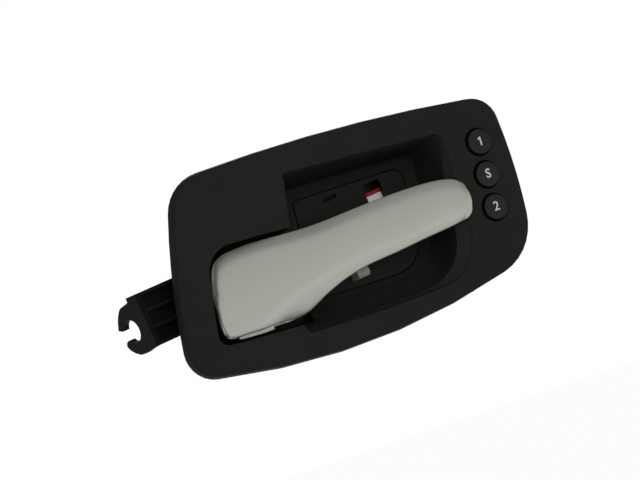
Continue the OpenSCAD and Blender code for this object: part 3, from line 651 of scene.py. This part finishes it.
# %% Height of the face
EDGE_ROUND = 0.6
TOP_BEVEL = 4.2
TOP_SLOPE = [(-75, 0.42), (-18, 0.4), (10, 0.24), (66, 0.16)]
LOWER_SLOPE = [(-75, 0.3), (-56, 0.34), (-46, 0.45), (-36, 0.6), (66, 0.62)]
LOWER_WIDTH = [(-75, 0.5), (-60, 1.6), (-50, 4.0), (-42, 7.5), (-34, 10.5), (-26, 10.0),
               (-16, 7.5), (-4, 5.5), (20, 4.6), (50, 4.0), (66, 3.4)]
RIDGE_BLEND = 1.6
CROWN = 0.9
RIM_MM = 1.0


def ramp(reach, distance, blend=RIDGE_BLEND):
    """Distance left inside a border, easing in over a short blend."""
    left = reach - distance
    if left <= -blend:
        return 0.0
    if left >= blend:
        return left
    return (left + blend) ** 2 / (4 * blend)


def lever_front(x, z, edge):
    """Depth of the painted face at a point, edge millimetres inside the outline."""
    top, bottom = lever_at(TOP, x), lever_at(BOTTOM, x)
    middle = (2 * z - top - bottom) / max(top - bottom, 1)
    y = lever_at(FRONT, x) + CROWN * middle**2
    y += along(TOP_SLOPE, 1, x) * ramp(TOP_BEVEL, top - z)
    y += along(LOWER_SLOPE, 1, x) * ramp(along(LOWER_WIDTH, 1, x), z - bottom)
    if edge < EDGE_ROUND:
        y += EDGE_ROUND - math.sqrt(EDGE_ROUND**2 - (EDGE_ROUND - edge) ** 2)
    return min(y, lever_at(BACK, x) - RIM_MM)


print("front at the waist:", round(lever_front(-30, -20, 9), 2), "mm")

# %% [markdown]
# The back closes the lever. The root is hollow behind its skin, to take the hinge,
# and the grip is solid. The walls of the hollow lean steeply, as in a casting that
# has to leave its die.

# %% Depth of the back
HOLLOW_X = (-71, -37)
SKIN_MM = 2.0
THINNEST_SKIN_MM = 1.4
WALL_STEEPNESS = 12
BACK_EDGE_MM = 1.0
BACK_EDGE_EASE = 0.5


def lever_back(x, z, edge):
    """Depth of the back at a point, edge millimetres inside the outline."""
    y = lever_at(BACK, x) - max(0.0, BACK_EDGE_MM - edge) * BACK_EDGE_EASE
    walls = min(x - HOLLOW_X[0], HOLLOW_X[1] - x, lever_at(TOP, x) - SKIN_MM - z,
                z - lever_at(BOTTOM, x) - SKIN_MM)
    if walls > 0:
        floor_y = max(lever_at(FRONT, x) + SKIN_MM, lever_front(x, z, edge) + THINNEST_SKIN_MM)
        y = min(y, max(floor_y, y - walls * WALL_STEEPNESS))
    return y


print("back of the hollow root:", round(lever_back(-55, -10, 9), 2), "mm")

# %% [markdown]
# The edge of the face is rounded over its outermost 0.6 mm, so the points there lie
# in even rows that follow the outline. Further in, a plain grid is enough.

# %% Points on the face
ROWS = (0.07, 0.2, 0.38, 0.62)
GRID_MM = 1.3
GRID_X = (-72.5, 66)
GRID_Z = (-32.0, 16)
GRID_GAP_MM = 0.6


def border_distance(point, loop):
    best = 1e9
    for a, b in zip(loop, loop[1:] + loop[:1]):
        side = b - a
        t = min(max((point - a).dot(side) / side.length_squared, 0), 1)
        best = min(best, (point - a - side * t).length)
    return best


def inset(loop, distance):
    """The loop moved inward, for a border of even rows. The loop runs clockwise."""
    out = []
    for k, p in enumerate(loop):
        along_edge = (loop[(k + 1) % len(loop)] - loop[k - 1]).normalized()
        out.append(p + Vector((along_edge.y, -along_edge.x)) * distance)
    return out


flat, edge_of = list(lever_outline), [0.0] * len(lever_outline)
for row in ROWS:
    flat += inset(lever_outline, row)
    edge_of += [row] * len(lever_outline)
x = GRID_X[0]
while x < GRID_X[1]:
    z = GRID_Z[0]
    while z < GRID_Z[1]:
        p = Vector((x, z))
        if lever_at(BOTTOM, x) < z < lever_at(TOP, x):
            distance = border_distance(p, lever_outline)
            if distance > ROWS[-1] + GRID_GAP_MM:
                flat.append(p)
                edge_of.append(distance)
        z += GRID_MM
    x += GRID_MM
print("points on the face:", len(flat))

# %% [markdown]
# Blender's constrained Delaunay tool joins them into a clean triangle mesh that
# keeps the outline. The back is the same net, pulled to the lever's back, and a band
# of quads closes the edge.

# %% Skin the lever
KEEP_INSIDE = 1
SAME_POINT_MM = 1e-5
count = len(lever_outline)
border = [(k, (k + 1) % count) for k in range(count)]
net = delaunay_2d_cdt(flat, border, [], KEEP_INSIDE, SAME_POINT_MM)
flat_out, faces = net[0], net[2]
came_from = [ids[0] for ids in net[3]]
print("lever net:", len(flat_out), "points,", len(faces), "triangles")

skin = bmesh.new()
fronts = [skin.verts.new((p.x * MM, lever_front(p.x, p.y, edge_of[i]) * MM, p.y * MM))
          for p, i in zip(flat_out, came_from)]
backs = [skin.verts.new((p.x * MM, lever_back(p.x, p.y, edge_of[i]) * MM, p.y * MM))
         for p, i in zip(flat_out, came_from)]
for a, b, c in faces:
    skin.faces.new((fronts[a], fronts[b], fronts[c]))
    skin.faces.new((backs[c], backs[b], backs[a]))
where = {i: k for k, i in enumerate(came_from)}
for a, b in border:
    a, b = where[a], where[b]
    skin.faces.new((fronts[b], fronts[a], backs[a], backs[b]))
bmesh.ops.recalc_face_normals(skin, faces=skin.faces[:])

# %% [markdown]
# One function turns a finished bmesh into a piece: it makes the object, gives it
# its finish and lets it ride on its body.


# %% Make a piece
def piece_from(mesh_data, name, finish, body):
    mesh = bpy.data.meshes.new(name)
    mesh_data.to_mesh(mesh)
    mesh_data.free()
    made = bpy.data.objects.new(name, mesh)
    bpy.context.scene.collection.objects.link(made)
    made.data.materials.append(finish)
    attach(made, body)
    return made


lever_face = piece_from(skin, "lever_face", silver_paint, "lever")
smooth_shading(lever_face)
print("lever face:", len(lever_face.data.vertices), "vertices")

# %% [markdown]
# Below the root, a narrow painted ledge stands out of the lever's lower flank, with
# a slot above it. It narrows the gap to the bezel, and shows as a light line. It is
# one hooked profile, swept along the root and drawn in towards both ends.

# %% Ledge under the root
LEDGE_X = (-66, -49)
LEDGE_STEPS = 12
LEDGE_MM = 1.6
LEDGE_SLOT = 0.95
LEDGE_Y = 1.2
LEDGE_CHAMFER = 0.15
LEDGE_DEPTH = 2
LEDGE_STEM_Y = 1.2
LEDGE_SUNK = 0.6
LEDGE_END = 0.25
ledge = bmesh.new()
sections = []
for k in range(LEDGE_STEPS + 1):
    x = LEDGE_X[0] + (LEDGE_X[1] - LEDGE_X[0]) * k / LEDGE_STEPS
    taper = LEDGE_END + (1 - LEDGE_END) * math.sin(math.pi * k / LEDGE_STEPS) ** 0.5
    under = lever_at(BOTTOM, x)
    y = lever_at(FRONT, x) + LEDGE_Y
    low_z = under - LEDGE_SLOT - (LEDGE_MM - LEDGE_SLOT) * taper
    profile = [(y, under - LEDGE_SLOT), (y, low_z + LEDGE_CHAMFER), (y + LEDGE_CHAMFER, low_z),
               (y + LEDGE_DEPTH, low_z), (y + LEDGE_DEPTH, under + LEDGE_SUNK),
               (y + LEDGE_STEM_Y, under + LEDGE_SUNK), (y + LEDGE_STEM_Y, under - LEDGE_SLOT)]
    sections.append([ledge.verts.new((x * MM, a * MM, b * MM)) for a, b in profile])


def skin_between(into, one, two):
    """A band of quads from one closed ring of vertices to the next."""
    for a, b, c, d in zip(one, one[1:] + one[:1], two[1:] + two[:1], two):
        into.faces.new((a, b, c, d))


for one, two in zip(sections, sections[1:]):
    skin_between(ledge, one, two)
for cap in (sections[0], sections[-1][::-1]):
    ledge.faces.new(cap)
bmesh.ops.recalc_face_normals(ledge, faces=ledge.faces[:])
piece_from(ledge, "lever_ledge", silver_paint, "lever")
print("ledge", LEDGE_X[1] - LEDGE_X[0], "mm long")

# %% [markdown]
# ## Barrels and crank
# Behind the face, two barrels turn on the steel pin, and a crank reaches back to
# the latch cable. They are black nylon. Both are profiles pushed along the pin, so
# one function fills a flat outline with its holes and gives it a thickness. The
# mechanism stands 8 degrees off the bezel, so its points go through one rotation.

# %% Mechanism frame and pushed profiles
MECH_TILT = math.radians(8)


def mech(u, y, w):
    """Point in metres of the mechanism's own millimetre frame."""
    return Vector((u * math.cos(MECH_TILT) - w * math.sin(MECH_TILT), y,
                   u * math.sin(MECH_TILT) + w * math.cos(MECH_TILT))) * MM


def circle(cx, cy, radius, count=40, start=0.0, sweep=360.0):
    """Points on an arc. A full circle leaves out its repeated last point."""
    steps = count if sweep == 360.0 else count - 1
    turns = [math.radians(start + sweep * k / steps) for k in range(count)]
    return [(cx + radius * math.cos(t), cy + radius * math.sin(t)) for t in turns]


def pushed(into, loops, depths, place):
    """Adds a solid with these outlines, the first outside and the others holes."""
    layers = []
    for depth in depths:
        edges = []
        for loop in loops:
            ring = [into.verts.new(place(a, b, depth)) for a, b in loop]
            edges += [into.edges.new((p, q)) for p, q in zip(ring, ring[1:] + ring[:1])]
        layers.append(edges)
        bmesh.ops.triangle_fill(into, edges=edges, use_beauty=True)
    for low_edge, high_edge in zip(*layers):
        (a, b), (c, d) = low_edge.verts, high_edge.verts
        into.faces.new((a, b, d, c))


print("mechanism turned by", round(math.degrees(MECH_TILT)), "degrees")

# %% [markdown]
# The crank is a flat arm with rounded ends, bored for the pin and for the cable's
# eye. Each barrel is a ring joined to the face by a web beside it. The upper
# barrel's web starts where the crank's arm ends, so the two don't overlap.

# %% Crank and barrels
HINGE = (-60, 4)
CRANK_REACH = 32
EYE = (HINGE[0], HINGE[1] + CRANK_REACH)
ARM_RADIUS = 4
EYE_BORE = 2
PIN_BORE = 2.05
ARM_W = (-1.8, 2.2)
BARREL_RADIUS = 4.5
BARREL_AND_WEB_W = (((-14.6, -8.0), (-14.6, -8.0)), ((-1.8, 7.6), (2.2, 7.6)))
WEB = [(-55.8, -2.4), (-48, -2.4), (-48, 3.2), (-55.8, 3.2)]
NEW_SOFT_ANGLE = 30
crank = bmesh.new()
arm = circle(*HINGE, ARM_RADIUS, 20, 180, 180) + circle(*EYE, ARM_RADIUS, 20, 0, 180)
pushed(crank, [arm, circle(*EYE, EYE_BORE), circle(*HINGE, PIN_BORE)], ARM_W, mech)
for barrel_w, web_w in BARREL_AND_WEB_W:
    pushed(crank, [circle(*HINGE, BARREL_RADIUS), circle(*HINGE, PIN_BORE)], barrel_w, mech)
    pushed(crank, [WEB], web_w, mech)
bmesh.ops.recalc_face_normals(crank, faces=crank.faces[:])
lever_crank = piece_from(crank, "lever_crank", glass_filled_nylon, "lever")
soften_edges(lever_crank, 0.25, NEW_SOFT_ANGLE)
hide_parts("lever")
print("crank eye at", [round(v / MM, 1) for v in mech(*EYE, sum(ARM_W) / 2)], "mm")

# %% [markdown]
# ## Switch pad
# The buttons press on domes of one silicone pad. Each dome gives way under its own
# button, so the pad is split: the CAD sheet without its domes, and three domes. A
# copy of the CAD mesh loses its domes here, and the holes that they leave are closed.

# %% Sheet of the pad
PAD_FRONT_Y = 2.1
PAD_SOFT_MM = 0.15
ABOVE_SHEET_MM = 0.1
pad_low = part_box("button_pad")[0]
dome_height = PAD_FRONT_Y - pad_low.y / MM
sheet_mesh = bmesh.new()
sheet_mesh.from_mesh(nodes["button_pad"].data)
bmesh.ops.remove_doubles(sheet_mesh, verts=sheet_mesh.verts[:], dist=WELD_MM * MM)
domes = [v for v in sheet_mesh.verts if v.co.y < (PAD_FRONT_Y - ABOVE_SHEET_MM) * MM]
bmesh.ops.delete(sheet_mesh, geom=domes, context="VERTS")
bmesh.ops.holes_fill(sheet_mesh, edges=[e for e in sheet_mesh.edges if e.is_boundary], sides=0)
bmesh.ops.recalc_face_normals(sheet_mesh, faces=sheet_mesh.faces[:])
pad_sheet = piece_from(sheet_mesh, "pad_sheet", silicone, "housing")
soften_edges(pad_sheet, PAD_SOFT_MM, NEW_SOFT_ANGLE)
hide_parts("button_pad")
print("dome vertices taken off the sheet:", len(domes))

# %% [markdown]
# A dome is turned from one profile, a steep flank under a flat top. Its button has
# 0.2 mm of play over it at rest and travels 1 mm.

# %% Domes of the pad
DOME_TOP_Y = PAD_FRONT_Y - dome_height
DOME_PROFILE = [
    (0, PAD_FRONT_Y), (4.5, PAD_FRONT_Y), (4.3, PAD_FRONT_Y - 0.2),
    (3.9, PAD_FRONT_Y - 0.5 * dome_height), (3.4, DOME_TOP_Y + 0.3),
    (3.1, DOME_TOP_Y + 0.08), (2.8, DOME_TOP_Y), (0, DOME_TOP_Y)]


def lathe(into, profile, centre):
    """A solid turned about the y direction, from (radius, y) points on and round the axis."""
    rings = []
    for radius, y in profile[1:-1]:
        rings.append([into.verts.new(((centre[0] + a) * MM, y * MM, (centre[1] + b) * MM))
                      for a, b in circle(0, 0, radius)])
    for one, two in zip(rings, rings[1:]):
        skin_between(into, one, two)
    for ring, y in ((rings[0], profile[0][1]), (rings[-1], profile[-1][1])):
        hub = into.verts.new((centre[0] * MM, y * MM, centre[1] * MM))
        for a, b in zip(ring, ring[1:] + ring[:1]):
            into.faces.new((hub, a, b))
    bmesh.ops.recalc_face_normals(into, faces=into.faces[:])


for button in ("button_1", "button_s", "button_2"):
    low_b, high_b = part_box(button)
    centre = ((low_b.x + high_b.x) / 2 / MM, (low_b.z + high_b.z) / 2 / MM)
    dome = bmesh.new()
    lathe(dome, DOME_PROFILE, centre)
    pad_dome = piece_from(dome, button.replace("button", "pad_dome"), silicone,
                          "housing")
    smooth_shading(pad_dome)
    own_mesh(pad_dome)
print("domes", round(dome_height, 2), "mm high")

# %% [markdown]
# ## Legends
# The buttons carry pad-printed white characters, laid just proud of the button's
# crown. A pad print is thin and a little uneven, so its white is broken by noise.

# %% Pad-print ink
INK_WEAR_MM = 0.9
pad_ink, tree, surface, place = start_material("white_pad_print_ink", Roughness=0.6, IOR=1.5)
ink_wear = add(tree, "ShaderNodeTexNoise", {
    "Vector": place, "Scale": per_metre(INK_WEAR_MM), "Detail": 2.0})
ink_tone = add(tree, "ShaderNodeMix", {
    FACTOR: ink_wear.outputs[0], COLOUR_A: srgb("#b9bab8"), COLOUR_B: srgb("#d8d9d6")},
    data_type="RGBA")
tree.links.new(ink_tone.outputs[MIXED_COLOUR], surface.inputs["Base Color"])
print("ink wear drawn at", INK_WEAR_MM, "mm")

# %% [markdown]
# Two characters are text in Blender's own font. The 1 has a flag that the font's 1
# lacks, so its outline is given in millimetres, as a closed flat curve.

# %% Printed characters
LEGEND_MM = 6.4
INK_MM = 0.03
INK_SPREAD_MM = 0.1
INK_SUNK_MM = 0.01
FLAGGED_ONE = [(-0.1, -2.2), (0.75, -2.2), (0.75, 2.2), (0.1, 2.2),
               (-1.15, 1.35), (-0.75, 0.7), (-0.1, 1.15)]


def drawn_character(name, outline):
    """A filled flat curve with this outline in millimetres."""
    curve = bpy.data.curves.new(name, "CURVE")
    curve.dimensions = "2D"
    curve.fill_mode = "BOTH"
    line = curve.splines.new("POLY")
    line.points.add(len(outline) - 1)
    for point, (a, b) in zip(line.points, outline):
        point.co = (a * MM, b * MM, 0, 1)
    line.use_cyclic_u = True
    return curve


def font_character(name, text):
    """A centred character of Blender's font, its strokes widened by the ink."""
    curve = bpy.data.curves.new(name, "FONT")
    curve.body = text
    curve.size = LEGEND_MM * MM
    curve.align_x = "CENTER"
    curve.align_y = "CENTER"
    curve.offset = INK_SPREAD_MM * MM
    curve.resolution_u = 6
    return curve


for text, button in (("1", "button_1"), ("S", "button_s"), ("2", "button_2")):
    name = "legend_" + text
    curve = drawn_character(name, FLAGGED_ONE) if text == "1" else font_character(name, text)
    curve.extrude = INK_MM / 2 * MM
    legend = bpy.data.objects.new(name, curve)
    low_b, high_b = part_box(button)
    legend.location = ((low_b.x + high_b.x) / 2, low_b.y + INK_SUNK_MM * MM,
                       (low_b.z + high_b.z) / 2)
    legend.rotation_euler = (math.radians(90), 0, 0)
    bpy.context.scene.collection.objects.link(legend)
    curve.materials.append(pad_ink)
    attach(legend, button)
print("legends", LEGEND_MM, "mm high")
